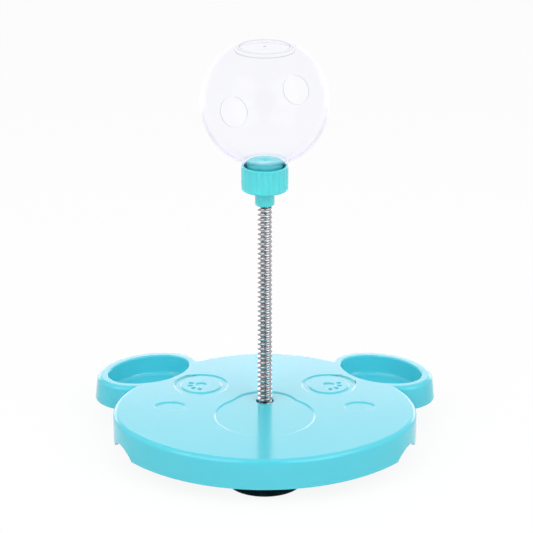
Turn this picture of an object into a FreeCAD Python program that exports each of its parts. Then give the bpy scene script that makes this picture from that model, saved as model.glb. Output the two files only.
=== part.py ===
# A cat's treat ball: a clear ball with two leak holes, screwed into a ribbed cap on a
# steel spring that stands on a head-shaped base with two ear bowls and three suction cups.
# Millimetres, +Z up. The origin is at floor level, under the middle of the bounding box,
# and the animal's chin points to -Y.
import FreeCAD, Part
import math
import os

import Sketcher

V = FreeCAD.Vector
doc = FreeCAD.newDocument("treat_ball")
sheet = doc.addObject("Spreadsheet::Sheet", "dims")
last_row = 0

# Gaps, overlaps and limits that the whole part shares
SEAT_GAP = 0.05
COIL_GAP = 0.2
OVERLAP = 0.5
SAME_PLACE = 0.001
WIRE_FLATS = 5
LEAST_COIL_GAP = 0.4
VOLUME_MARGIN = 0.01


class Size:
    """A length: its number, and the sheet expression that gives that number."""

    def __init__(self, number, text):
        self.number = number
        self.text = text

    def __add__(self, other):
        other = size(other)
        return Size(self.number + other.number, f"({self.text} + {other.text})")

    def __sub__(self, other):
        other = size(other)
        return Size(self.number - other.number, f"({self.text} - {other.text})")

    def __mul__(self, other):
        other = size(other)
        return Size(self.number * other.number, f"({self.text} * {other.text})")

    def __truediv__(self, other):
        other = size(other)
        return Size(self.number / other.number, f"({self.text} / {other.text})")

    def __neg__(self):
        return Size(-self.number, f"(0 - {self.text})")

    def __float__(self):
        return float(self.number)


def size(value):
    """The value itself if it is a Size, or a plain number made into one."""
    return value if isinstance(value, Size) else Size(float(value), f"{float(value):.6g}")


def root(value):
    return Size(math.sqrt(value.number), f"sqrt({value.text})")


def cos(angle):
    return Size(math.cos(math.radians(angle.number)), f"cos({angle.text})")


def sin(angle):
    return Size(math.sin(math.radians(angle.number)), f"sin({angle.text})")


def dim(alias, value):
    """Writes a driving dimension to the sheet and gives it back as a Size."""
    global last_row
    last_row += 1
    sheet.set(f"A{last_row}", alias)
    sheet.set(f"B{last_row}", str(value))
    sheet.setAlias(f"B{last_row}", alias)
    return Size(float(value), f"dims.{alias}")


# Driving dimensions of the base
spring_y = dim("spring_y", 4.9)
rim_bottom = dim("rim_bottom", 10)
top_level = dim("top_level", 28.5)
wall = dim("wall", 2.2)
edge_round = dim("edge_round", 3)
chin_radius = dim("chin_radius", 101)
chin_centre_y = dim("chin_centre_y", 18.4)
cheek_radius = dim("cheek_radius", 60)
cheek_centre_x = dim("cheek_centre_x", 31)
forehead_radius = dim("forehead_radius", 80)
forehead_centre_y = dim("forehead_centre_y", -0.6)

# The ears are ovals of four arcs, turned so that they lean back and inwards
ear_x = dim("ear_x", 72.5)
ear_y = dim("ear_y", 52.2)
ear_turn = dim("ear_turn", 36)
ear_long = dim("ear_long", 27.4)
ear_short = dim("ear_short", 19.6)
ear_end_radius = dim("ear_end_radius", 15)
ear_lip = dim("ear_lip", 6.4)
ear_bottom = dim("ear_bottom", 13.5)
ear_flare = dim("ear_flare", 6)
bowl_depth = dim("bowl_depth", 12.8)
bowl_wall = dim("bowl_wall", 1.8)
bowl_draft = dim("bowl_draft", 3)
bowl_round = dim("bowl_round", 3)

# Face
step_depth = dim("step_depth", 0.7)
nose_radius = dim("nose_radius", 20.4)
nose_y = dim("nose_y", -2.6)
snout_radius = dim("snout_radius", 30)
snout_y = dim("snout_y", -18.3)
eye_x = dim("eye_x", 39.2)
eye_y = dim("eye_y", 27.4)
eye_radius = dim("eye_radius", 16.6)
iris_radius = dim("iris_radius", 12)
cheek_spot_x = dim("cheek_spot_x", 57)
cheek_spot_y = dim("cheek_spot_y", -5.1)
cheek_spot_long = dim("cheek_spot_long", 9.3)
cheek_spot_short = dim("cheek_spot_short", 6.8)
cheek_spot_end = dim("cheek_spot_end", 5.1)
pad_radius = dim("pad_radius", 3.6)
toe_reach = dim("toe_reach", 6.7)
toe_long = dim("toe_long", 1.7)
toe_wide = dim("toe_wide", 1.2)
toe_depth = dim("toe_depth", 1.5)
paw_heading = dim("paw_heading", -30)
toe_spacing = dim("toe_spacing", 36)

# Finger notches in the lower edge of the rim
notch_radius = dim("notch_radius", 18)
notch_rise = dim("notch_rise", 5.7)
notch_heading = dim("notch_heading", 24.3)

# Underside
cup_circle = dim("cup_circle", 53.3)
cup_radius = dim("cup_radius", 22.4)
cup_lip = dim("cup_lip", 1.2)
cup_edge = dim("cup_edge", 0.7)
cup_sweep = dim("cup_sweep", 21.3)
cup_hollow = dim("cup_hollow", 4.6)
flange_height = dim("flange_height", 2)
barb_bite = dim("barb_bite", 0.7)
stud_radius = dim("stud_radius", 4)
stud_length = dim("stud_length", 9)
stud_tip = dim("stud_tip", 2.9)
barb_count = dim("barb_count", 3)
boss_radius = dim("boss_radius", 8.6)
socket_radius = dim("socket_radius", 5.2)
socket_wall = dim("socket_wall", 2.2)
socket_floor = dim("socket_floor", 17)
web = dim("web", 2.2)
rib = dim("rib", 1.8)
rib_bottom = dim("rib_bottom", 14.5)

# Spring and the fixings in its two ends
wire = dim("wire", 1.8)
coil_outside = dim("coil_outside", 9)
coil_turns = dim("coil_turns", 48)
plug_length = dim("plug_length", 9.5)
plug_chamfer = dim("plug_chamfer", 0.6)
screw_radius = dim("screw_radius", 1.5)
screw_hole = dim("screw_hole", 1.7)
screw_length = dim("screw_length", 9)
screw_point = dim("screw_point", 1.2)
screw_tip = dim("screw_tip", 0.9)
head_radius = dim("head_radius", 2.9)
head_height = dim("head_height", 2)
head_side = dim("head_side", 0.9)
head_flat = dim("head_flat", 1.8)
head_dome = dim("head_dome", 1.8)
washer_radius = dim("washer_radius", 3.6)
washer_height = dim("washer_height", 0.8)

# Cap
cap_bottom = dim("cap_bottom", 162.5)
cap_height = dim("cap_height", 15)
cap_radius = dim("cap_radius", 13.8)
cap_skirt = dim("cap_skirt", 1.4)
cap_floor = dim("cap_floor", 2)
cap_roof = dim("cap_roof", 165)
neck_boss = dim("neck_boss", 5.75)
neck_boss_length = dim("neck_boss_length", 9.6)
boss_edge = dim("boss_edge", 1)
cap_edge = dim("cap_edge", 0.8)
cap_rim_edge = dim("cap_rim_edge", 0.4)
tower_radius = dim("tower_radius", 8.9)
tower_wall = dim("tower_wall", 2)
tower_top = dim("tower_top", 173.5)
grip_count = dim("grip_count", 24)
grip_width = dim("grip_width", 1.7)
grip_bite = dim("grip_bite", 0.5)
grip_margin = dim("grip_margin", 1.4)
stopper_radius = dim("stopper_radius", 10.4)
stopper_top = dim("stopper_top", 180)
stopper_wall = dim("stopper_wall", 1.45)
stopper_edge = dim("stopper_edge", 0.6)

# Ball
ball_radius = dim("ball_radius", 37.5)
ball_z = dim("ball_z", 215.5)
ball_wall = dim("ball_wall", 1.1)
flat_height = dim("flat_height", 33.3)
neck_radius = dim("neck_radius", 11.5)
neck_bore = dim("neck_bore", 10.6)
ring_height = dim("ring_height", 1)
ring_outer = dim("ring_outer", 12.1)
leak_radius = dim("leak_radius", 8.75)
front_leak_heading = dim("front_leak_heading", 209.2)
front_leak_tilt = dim("front_leak_tilt", 5.3)
back_leak_heading = dim("back_leak_heading", 30.7)
back_leak_tilt = dim("back_leak_tilt", -2.4)
neck_blend = dim("neck_blend", 1.2)
seat_edge = dim("seat_edge", 0.8)
drill_reach = dim("drill_reach", 56)

doc.recompute()


# Helpers for bodies, sketches and features
def bind(thing, prop, value):
    thing.setExpression(prop, size(value).text)


def new_body(name, x=None, y=None):
    """An empty body, moved in plan to x, y where they are given."""
    body = doc.addObject("PartDesign::Body", name)
    if x is not None:
        bind(body, "Placement.Base.x", x)
    if y is not None:
        bind(body, "Placement.Base.y", y)
    return body


def new_sketch(body, plane, height=0):
    """A sketch on one of the body's origin planes, raised along that plane's normal."""
    sketch = body.newObject("Sketcher::SketchObject", body.Name + "_sketch")
    base = next(f for f in body.Origin.OriginFeatures if f.Role == plane)
    sketch.AttachmentSupport = [(base, "")]
    sketch.MapMode = "FlatFace"
    bind(sketch, "AttachmentOffset.Base.z", height)
    return sketch


def hold(sketch, kind, places, value):
    """A sketch constraint whose value comes from the sheet."""
    index = sketch.addConstraint(Sketcher.Constraint(kind, *places, value.number))
    sketch.setExpression(f"Constraints[{index}]", value.text)


def hold_point(sketch, geometry, point, x, y):
    """Keeps a sketch point at x, y. A coordinate of zero is kept on the sketch's axis."""
    for kind, value, axis in (("DistanceX", x, -2), ("DistanceY", y, -1)):
        value = size(value)
        if value.number == 0:
            sketch.addConstraint(Sketcher.Constraint("PointOnObject", geometry, point, axis))
        else:
            hold(sketch, kind, (-1, 1, geometry, point), value)


def arc_between(start, end, radius, turn):
    """The shorter arc from start to end, turning left for +1 and right for -1."""
    chord = end - start
    middle = (start + end) * 0.5
    rise = math.sqrt(max(radius**2 - (chord.Length / 2) ** 2, 0))
    centre = middle + V(-chord.y, chord.x, 0).normalize() * rise * turn
    first, last = (start, end) if turn > 0 else (end, start)
    angles = [math.atan2(p.y - centre.y, p.x - centre.x) for p in (first, last)]
    if angles[1] <= angles[0]:
        angles[1] += 2 * math.pi
    return Part.ArcOfCircle(Part.Circle(centre, V(0, 0, 1), radius), *angles)


def draw_profile(sketch, corners):
    """A closed outline through corners. A corner is (x, y), or (x, y, radius, turn) where an
    arc leads to it from the corner before. All of them are held by the sheet."""
    corners = [tuple(size(part) for part in corner[:3]) + corner[3:] for corner in corners]
    count = len(corners)
    spots = [V(corner[0].number, corner[1].number, 0) for corner in corners]
    ends = []
    for index in range(count):
        target = (index + 1) % count
        corner = corners[target]
        if len(corner) == 2:
            geometry = sketch.addGeometry(Part.LineSegment(spots[index], spots[target]))
            ends.append((geometry, 1, 2))
        else:
            arc = arc_between(spots[index], spots[target], corner[2].number, corner[3])
            geometry = sketch.addGeometry(arc)
            ends.append((geometry, 1, 2) if corner[3] > 0 else (geometry, 2, 1))
            hold(sketch, "Radius", (geometry,), corner[2])
    for index in range(count):
        geometry, start, end = ends[index]
        following, following_start, unused = ends[(index + 1) % count]
        sketch.addConstraint(
            Sketcher.Constraint("Coincident", geometry, end, following, following_start)
        )
        hold_point(sketch, geometry, start, corners[index][0], corners[index][1])


def revolved(name, corners, x=None, y=None):
    """A body turned about its own vertical axis from (radius, height) corners."""
    body = new_body(name, x, y)
    sketch = new_sketch(body, "XZ_Plane")
    draw_profile(sketch, corners)
    turn = body.newObject("PartDesign::Revolution", name + "_turn")
    turn.Profile = sketch
    turn.ReferenceAxis = (sketch, ["V_Axis"])
    turn.Angle = 360
    sketch.Visibility = False
    doc.recompute()
    return body


def pad_up(body, sketch, length, down=False, taper=None):
    pad = body.newObject("PartDesign::Pad", body.Name + "_pad")
    pad.Profile = sketch
    bind(pad, "Length", length)
    pad.Reversed = down
    if taper is not None:
        bind(pad, "TaperAngle", taper)
    doc.recompute()
    return pad


def round_edges(body, feature, radius, wanted):
    """Fillets the edges of a feature that wanted(edge) picks."""
    names = [f"Edge{i}" for i, edge in enumerate(feature.Shape.Edges, 1) if wanted(edge)]
    fillet = body.newObject("PartDesign::Fillet", feature.Name + "_round")
    fillet.Base = (feature, names)
    bind(fillet, "Radius", radius)
    doc.recompute()
    return fillet


def level(height):
    """Picks edges that lie flat at a height."""
    return lambda edge: all(
        abs(edge.valueAt(t).z - float(height)) < SAME_PLACE
        for t in (edge.FirstParameter, (edge.FirstParameter + edge.LastParameter) / 2)
    )


def ring_edge(radius, height):
    """Picks the circle of a radius at a height."""
    flat = level(height)
    return lambda edge: flat(edge) and abs(
        math.hypot(edge.valueAt(edge.FirstParameter).x, edge.valueAt(edge.FirstParameter).y)
        - float(radius)
    ) < SAME_PLACE


def primitive(kind, name, place=(0, 0, 0), **sizes):
    """A Part primitive with its sizes and its place bound to the sheet."""
    thing = doc.addObject("Part::" + kind, name)
    for prop, value in sizes.items():
        bind(thing, prop, value)
    for axis, value in zip("xyz", place):
        bind(thing, "Placement.Base." + axis, value)
    return thing


def fused(name, pieces):
    thing = doc.addObject("Part::MultiFuse", name)
    thing.Shapes = pieces
    thing.Refine = True
    return thing


def cut(name, base, tool):
    thing = doc.addObject("Part::Cut", name)
    thing.Base = base
    thing.Tool = tool
    thing.Refine = True
    doc.recompute()
    if thing.Shape.Volume >= base.Shape.Volume:
        raise RuntimeError(f"{name} took nothing away")
    return thing


# Base: outlines
def head_outline(sketch, inset):
    """Chin, two cheeks and forehead as four arcs, all drawn in by inset."""
    chin, cheek, forehead = (
        radius - inset for radius in (chin_radius, cheek_radius, forehead_radius)
    )
    reach = (chin_radius - cheek_radius).number
    cheek_y = chin_centre_y.number - math.sqrt(reach**2 - cheek_centre_x.number**2)
    centres = {
        "chin": V(0, chin_centre_y.number, 0),
        "right": V(cheek_centre_x.number, cheek_y, 0),
        "forehead": V(0, forehead_centre_y.number, 0),
        "left": V(-cheek_centre_x.number, cheek_y, 0),
    }
    touch = math.atan2(cheek_y - chin_centre_y.number, cheek_centre_x.number)
    # Where the cheek and forehead circles cross
    apart = centres["forehead"] - centres["right"]
    along = (cheek.number**2 - forehead.number**2 + apart.Length**2) / (2 * apart.Length)
    side = math.sqrt(cheek.number**2 - along**2)
    unit = V(apart).normalize()
    crossing = centres["right"] + unit * along + V(unit.y, -unit.x, 0) * side
    on_cheek = math.atan2(crossing.y - cheek_y, crossing.x - cheek_centre_x.number)
    on_forehead = math.atan2(crossing.y - forehead_centre_y.number, crossing.x)
    spans = (
        ("chin", chin, math.pi - touch - 2 * math.pi, touch),
        ("right", cheek, touch, on_cheek),
        ("forehead", forehead, on_forehead, math.pi - on_forehead),
        ("left", cheek, math.pi - on_cheek, math.pi - touch),
    )
    for part, radius, start, end in spans:
        circle = Part.Circle(centres[part], V(0, 0, 1), radius.number)
        sketch.addGeometry(Part.ArcOfCircle(circle, start, end))
    add = lambda *words: sketch.addConstraint(Sketcher.Constraint(*words))
    add("Tangent", 0, 2, 1, 1)
    add("Coincident", 1, 2, 2, 1)
    add("Coincident", 2, 2, 3, 1)
    add("Tangent", 3, 2, 0, 1)
    add("Equal", 1, 3)
    hold(sketch, "Radius", (0,), chin)
    hold(sketch, "Radius", (1,), cheek)
    hold(sketch, "Radius", (2,), forehead)
    hold_point(sketch, 0, 3, 0, chin_centre_y)
    hold_point(sketch, 2, 3, 0, forehead_centre_y)
    hold(sketch, "DistanceX", (-1, 1, 1, 3), cheek_centre_x)
    hold(sketch, "DistanceX", (3, 3, -1, 1), cheek_centre_x)


def oval_outline(sketch, x, y, turn, long, short, end_radius, grow):
    """An oval of four arcs about x, y, with its long axis turned from +X, grown all round."""
    end_offset = long - end_radius
    gap = short - end_radius
    # The flank circle touches both end circles from outside
    flank = (end_offset * end_offset + short * short - end_radius * end_radius) / (gap * 2)
    back = flank.number - short.number
    axis = V(math.cos(math.radians(turn.number)), math.sin(math.radians(turn.number)), 0)
    normal = V(-axis.y, axis.x, 0)
    middle = V(size(x).number, size(y).number, 0)
    end_centres = [middle + axis * (end_offset.number * s) for s in (1, -1)]
    flank_centres = [middle - normal * (back * s) for s in (1, -1)]
    circles = (
        (end_centres[0], end_radius, flank_centres[1], flank_centres[0]),
        (flank_centres[0], flank, end_centres[0], end_centres[1]),
        (end_centres[1], end_radius, flank_centres[0], flank_centres[1]),
        (flank_centres[1], flank, end_centres[1], end_centres[0]),
    )
    for index, (centre, radius, before, after) in enumerate(circles):
        if index % 2 == 0:
            spokes = (centre - before, centre - after)
        else:
            spokes = (before - centre, after - centre)
        start, end = (math.atan2(spoke.y, spoke.x) for spoke in spokes)
        if end <= start:
            end += 2 * math.pi
        circle = Part.Circle(centre, V(0, 0, 1), (radius + grow).number)
        sketch.addGeometry(Part.ArcOfCircle(circle, start, end))
    for index in range(4):
        sketch.addConstraint(Sketcher.Constraint("Tangent", index, 2, (index + 1) % 4, 1))
    hold(sketch, "Radius", (0,), end_radius + grow)
    hold(sketch, "Radius", (1,), flank + grow)
    sketch.addConstraint(Sketcher.Constraint("Equal", 0, 2))
    sketch.addConstraint(Sketcher.Constraint("Equal", 1, 3))
    hold_point(sketch, 0, 3, x + end_offset * cos(turn), y + end_offset * sin(turn))
    hold_point(sketch, 2, 3, x - end_offset * cos(turn), y - end_offset * sin(turn))


def head_block(name, inset, bottom, top, rounded):
    """The head's outline as a block between two levels."""
    body = new_body(name)
    sketch = new_sketch(body, "XY_Plane", bottom)
    head_outline(sketch, inset)
    pad = pad_up(body, sketch, top - bottom)
    if rounded:
        round_edges(body, pad, edge_round, level(top))
    return body


def ear_block(name, side, grow, top, depth, taper, radius=None, rounded_level=None):
    """One ear's oval as a block hanging from a level, on the left (-1) or right (+1)."""
    body = new_body(name)
    sketch = new_sketch(body, "XY_Plane", top)
    turn = ear_turn if side < 0 else size(180) - ear_turn
    oval_outline(sketch, ear_x * side, ear_y, turn, ear_long, ear_short, ear_end_radius, grow)
    pad = pad_up(body, sketch, depth, down=True, taper=taper)
    if radius is not None:
        round_edges(body, pad, radius, level(rounded_level))
    return body


def sunk_disc(name, x, y, radius, depth):
    """A round recess tool, open at the top face, with a wall at 45 degrees."""
    return primitive(
        "Cone",
        name,
        (x, y, top_level - depth),
        Radius1=radius - depth,
        Radius2=radius + OVERLAP,
        Height=depth + OVERLAP,
    )


def rotate_about_z(thing, angle):
    bind(thing, "Placement.Rotation.Angle", angle)
    thing.Placement.Rotation.Axis = V(0, 0, 1)


# Base: pieces of the moulding
SIDES = {"left": -1, "right": 1}
CUP_HEADINGS = {"front": -90, "right": 30, "left": 150}


def cup_place(heading):
    angle = size(heading)
    return cup_circle * cos(angle), spring_y + cup_circle * sin(angle)


def face_recesses():
    """Tools that sink the snout, the eye rings, the cheeks and the paw prints."""
    tools = [
        sunk_disc("nose_recess", 0, nose_y, nose_radius, step_depth),
        sunk_disc("snout_recess", 0, snout_y, snout_radius, step_depth),
    ]
    for label, side in SIDES.items():
        x = eye_x * side
        outer = sunk_disc(f"eye_outer_{label}", x, eye_y, eye_radius, step_depth)
        iris = primitive(
            "Cone",
            f"iris_{label}",
            (x, eye_y, top_level - step_depth - OVERLAP),
            Radius1=iris_radius + step_depth + OVERLAP,
            Radius2=iris_radius,
            Height=step_depth + OVERLAP,
        )
        iris_top = primitive(
            "Cylinder",
            f"iris_top_{label}",
            (x, eye_y, top_level),
            Radius=iris_radius,
            Height=OVERLAP * 2,
        )
        kept = fused(f"iris_kept_{label}", [iris, iris_top])
        tools.append(cut(f"eye_ring_{label}", outer, kept))
        tools.append(sunk_disc(f"pad_recess_{label}", x, eye_y, pad_radius, step_depth))
        for number in range(4):
            heading = paw_heading + toe_spacing * (number - 1.5)
            toe = primitive(
                "Ellipsoid",
                f"toe_{label}_{number}",
                (x + toe_reach * cos(heading) * side, eye_y + toe_reach * sin(heading), top_level),
                Radius1=toe_depth,
                Radius2=toe_long,
                Radius3=toe_wide,
            )
            rotate_about_z(toe, heading * side)
            tools.append(toe)
        spot = new_body(f"cheek_recess_{label}")
        sketch = new_sketch(spot, "XY_Plane", top_level + OVERLAP)
        oval_outline(
            sketch,
            cheek_spot_x * side,
            cheek_spot_y,
            size(0),
            cheek_spot_long,
            cheek_spot_short,
            cheek_spot_end,
            size(OVERLAP),
        )
        pad_up(spot, sketch, step_depth + OVERLAP, down=True, taper=size(-45))
        tools.append(spot)
    return tools


def finger_notches():
    """Round bars along the two notch directions, through the rim's lower edge."""
    bars = []
    for label, side in SIDES.items():
        bar = primitive(
            "Cylinder",
            f"notch_{label}",
            (0, spring_y, rim_bottom + notch_rise - notch_radius),
            Radius=notch_radius,
            Height=chin_radius,
        )
        outward = V(side * math.cos(math.radians(notch_heading.number)), 0, 0)
        outward.y = -math.sin(math.radians(notch_heading.number))
        bar.Placement.Rotation = FreeCAD.Rotation(V(0, 0, 1), outward)
        room = primitive(
            "Cylinder",
            f"notch_room_{label}",
            (0, spring_y, 0),
            Radius=cup_circle + boss_radius,
            Height=top_level,
        )
        bars.append(cut(f"notch_tool_{label}", bar, room))
    return bars


def rib_bar(name, heading, reach):
    """A rib under the top plate, from the socket's wall out to reach."""
    angle = size(heading)
    start = socket_radius + socket_wall / 2
    bar = primitive(
        "Box",
        name,
        (
            start * cos(angle) + rib / 2 * sin(angle),
            spring_y + start * sin(angle) - rib / 2 * cos(angle),
            rib_bottom,
        ),
        Length=reach - start,
        Width=rib,
        Height=top_level - wall - rib_bottom + OVERLAP,
    )
    rotate_about_z(bar, angle)
    return bar


def make_base():
    """The moulded base: a head-shaped shell with two ear bowls, open underneath."""
    solid = [head_block("head", size(0), rim_bottom, top_level, True)]
    hollow = [
        head_block("head_hollow", wall, rim_bottom - OVERLAP, top_level - wall, False)
    ]
    bowls = []
    pockets = []
    ear_height = top_level - ear_bottom
    for label, side in SIDES.items():
        solid.append(
            ear_block(
                f"ear_{label}", side, ear_lip, top_level, ear_height, ear_flare,
                edge_round, top_level,
            )
        )
        hollow.append(
            ear_block(
                f"ear_hollow_{label}", side, ear_lip - bowl_wall, top_level - wall,
                ear_height - wall, ear_flare,
            )
        )
        bowls.append(
            ear_block(
                f"bowl_{label}", side, bowl_wall, top_level - wall / 2,
                bowl_depth + wall / 2 + OVERLAP, -bowl_draft,
            )
        )
        pockets.append(
            ear_block(
                f"bowl_room_{label}", side, size(0), top_level + OVERLAP,
                bowl_depth + OVERLAP, -bowl_draft, bowl_round, top_level - bowl_depth,
            )
        )
    shell = cut("open_shell", fused("shell_solid", solid), cut(
        "shell_hollow", fused("all_hollow", hollow), fused("both_bowls", bowls)
    ))

    under = [
        primitive(
            "Cylinder", "socket", (0, spring_y, socket_floor - web),
            Radius=socket_radius + socket_wall,
            Height=top_level - wall - socket_floor + web + OVERLAP,
        )
    ]
    bores = [
        primitive(
            "Cylinder", "socket_bore", (0, spring_y, socket_floor),
            Radius=socket_radius, Height=top_level - socket_floor + OVERLAP,
        ),
        primitive(
            "Cylinder", "socket_screw_hole", (0, spring_y, socket_floor - web - OVERLAP),
            Radius=screw_hole, Height=web + OVERLAP * 2,
        ),
    ]
    for label, heading in CUP_HEADINGS.items():
        x, y = cup_place(heading)
        under.append(primitive(
            "Cylinder", f"cup_boss_{label}", (x, y, rim_bottom),
            Radius=boss_radius, Height=top_level - wall - rim_bottom + OVERLAP,
        ))
        under.append(rib_bar(f"cup_rib_{label}", heading, cup_circle))
        bores.append(primitive(
            "Cylinder", f"cup_bore_{label}", (x, y, rim_bottom - OVERLAP),
            Radius=stud_radius + SEAT_GAP, Height=stud_length + OVERLAP * 2,
        ))
    forehead_reach = forehead_radius + forehead_centre_y - spring_y - wall / 2
    under.append(rib_bar("rib_back", 90, forehead_reach))
    for label, heading in (("right", -30), ("left", 210)):
        under.append(rib_bar(f"rib_side_{label}", heading, cheek_centre_x + cheek_radius - wall))
    under.append(rib_bar("rib_front", -90, chin_radius - chin_centre_y + spring_y - wall / 2))
    ribbed = fused("ribbed_shell", [shell] + under)
    tools = pockets + bores + face_recesses() + finger_notches()
    return cut("base_shell", ribbed, fused("base_tools", tools))


# Suction cups
def make_suction_cup(label, heading):
    """Black rubber cup: a barbed stud, a flange under the boss and a thin flared lip."""
    x, y = cup_place(heading)
    flange_top = rim_bottom - SEAT_GAP
    barb_rise = stud_length / (barb_count + 1)
    lip_inner = cup_radius - cup_lip
    hollow_radius = (lip_inner * lip_inner + cup_hollow * cup_hollow) / (cup_hollow * 2)
    corners = [(0, flange_top + stud_length)]
    corners.append((stud_tip, flange_top + stud_length))
    for number in range(int(barb_count.number), 0, -1):
        corners.append((stud_radius, flange_top + barb_rise * number))
        corners.append((stud_radius - barb_bite, flange_top + (barb_rise * number - barb_bite)))
    corners += [
        (stud_radius - barb_bite, flange_top),
        (boss_radius, flange_top),
        (boss_radius, flange_top - flange_height),
        (cup_radius, cup_edge, cup_sweep, -1),
        (cup_radius, 0),
        (lip_inner, 0),
        (0, cup_hollow, hollow_radius, 1),
    ]
    return revolved(f"suction_cup_{label}", corners, x, y)


# Spring and its fixings
def joined_arcs(start, start_way, end, end_way):
    """Two tangent arcs from start to end that leave and arrive along the given ways."""
    span = end - start
    both = start_way + end_way
    slack = 2 * (1 - start_way.dot(end_way))
    reach = (-span.dot(both) + math.sqrt(span.dot(both) ** 2 + slack * span.dot(span))) / slack
    first_corner = start + start_way * reach
    last_corner = end - end_way * reach
    joint = (first_corner + last_corner) * 0.5
    arcs = []
    for a, corner, b in ((start, first_corner, joint), (joint, last_corner, end)):
        chord_middle = (a + b) * 0.5
        half_chord = (b - a).Length / 2
        bend = math.acos(min(1.0, half_chord / (corner - a).Length))
        sagitta = half_chord * math.tan(bend / 2)
        top = chord_middle + (corner - chord_middle).normalize() * sagitta
        arcs.append(Part.Arc(a, top, b))
    return arcs


def coil_path(radius, bottom, top, turns):
    """The coil's centre line as arcs, two to each half turn."""
    rise = (top - bottom) / turns

    def spot(turn):
        angle = 2 * math.pi * turn
        return V(radius * math.cos(angle), radius * math.sin(angle), bottom + rise * turn)

    def way(turn):
        angle = 2 * math.pi * turn
        tangent = V(-radius * math.sin(angle), radius * math.cos(angle), rise / (2 * math.pi))
        return tangent.normalize()

    arcs = []
    for number in range(round(turns * 2)):
        start, end = number / 2, (number + 1) / 2
        arcs += joined_arcs(spot(start), way(start), spot(end), way(end))
    return arcs


def least_gap(arcs, diameter):
    """The smallest gap between the wire and its next turn, measured on points."""
    per_arc = 6
    per_turn = per_arc * 4
    points = []
    for arc in arcs:
        span = arc.LastParameter - arc.FirstParameter
        points += [arc.value(arc.FirstParameter + span * step / per_arc) for step in range(per_arc)]
    gaps = [
        (a - b).Length
        for index, a in enumerate(points[: per_turn * 3])
        for b in points[index + per_turn // 2: index + per_turn * 2]
    ]
    return min(gaps) - diameter


def wire_reach():
    """How far the corners of the faceted wire lie from its centre, at a round wire's area."""
    step = 2 * math.pi / WIRE_FLATS
    return wire.number / 2 * math.sqrt(2 * math.pi / (WIRE_FLATS * math.sin(step)))


def wire_section(arc):
    """The wire's section at the start of an arc: flats with a round wire's area."""
    start = arc.value(arc.FirstParameter)
    along = arc.tangent(arc.FirstParameter)[0]
    outwards = V(start.x, start.y, 0).normalize()
    upwards = outwards.cross(along)
    step = 2 * math.pi / WIRE_FLATS
    corners = []
    for number in range(WIRE_FLATS + 1):
        angle = step * (number + 0.5)
        corner = outwards * math.cos(angle) + upwards * math.sin(angle)
        corners.append(start + corner * wire_reach())
    return Part.makePolygon(corners)


def make_spring():
    """One unbroken steel wire coil, from the socket floor to the cap's roof."""
    radius = (coil_outside.number - wire.number) / 2
    bottom = socket_floor.number + wire_reach() + SEAT_GAP
    top = cap_roof.number - wire_reach() - SEAT_GAP
    arcs = coil_path(radius, bottom, top, coil_turns.number)
    path = Part.Wire([arc.toShape() for arc in arcs])
    coil = path.makePipeShell([wire_section(arcs[0])], True, False)
    gap = least_gap(arcs, wire_reach() * 2)
    ideal = math.pi * (wire.number / 2) ** 2 * path.Length
    print(f"spring: least gap {gap:.3f} mm, volume {coil.Volume:.1f}, section x length {ideal:.1f}")
    if gap < LEAST_COIL_GAP or abs(coil.Volume / ideal - 1) > VOLUME_MARGIN:
        raise RuntimeError("the spring's turns are too close, or its volume is wrong")
    feature = doc.addObject("Part::Feature", "spring")
    feature.Shape = coil
    feature.Placement.Base = V(0, spring_y.number, 0)
    return feature


def make_plug(name, flat, direction):
    """A turned plug inside the spring's end coils, tapped for the screw."""
    outer = coil_outside / 2 - wire - COIL_GAP
    bore = screw_radius + SEAT_GAP
    near = flat + SEAT_GAP * direction
    far = flat + plug_length * direction
    corners = [
        (bore, near), (outer, near), (outer, far - plug_chamfer * direction),
        (outer - plug_chamfer, far), (bore, far),
    ]
    return revolved(name, corners, None, spring_y)


def make_washer(name, flat, direction):
    """A flat washer whose seat face is at flat and which stands out in direction."""
    near = flat + SEAT_GAP * direction
    far = near + washer_height * direction
    corners = [
        (screw_hole, near), (washer_radius, near), (washer_radius, far), (screw_hole, far),
    ]
    return revolved(name, corners, None, spring_y)


def make_screw(name, flat, direction):
    """A pan-head screw: head on the washer, shank through the web into the plug."""
    under_head = flat + (washer_height + SEAT_GAP * 2) * direction
    crown = under_head + head_height * direction
    tip = flat - screw_length * direction
    corners = [
        (0, tip), (screw_tip, tip), (screw_radius, tip + screw_point * direction),
        (screw_radius, under_head), (head_radius, under_head),
        (head_radius, under_head + head_side * direction),
        (head_flat, crown, head_dome, direction),
        (0, crown),
    ]
    return revolved(name, corners, None, spring_y)


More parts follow.
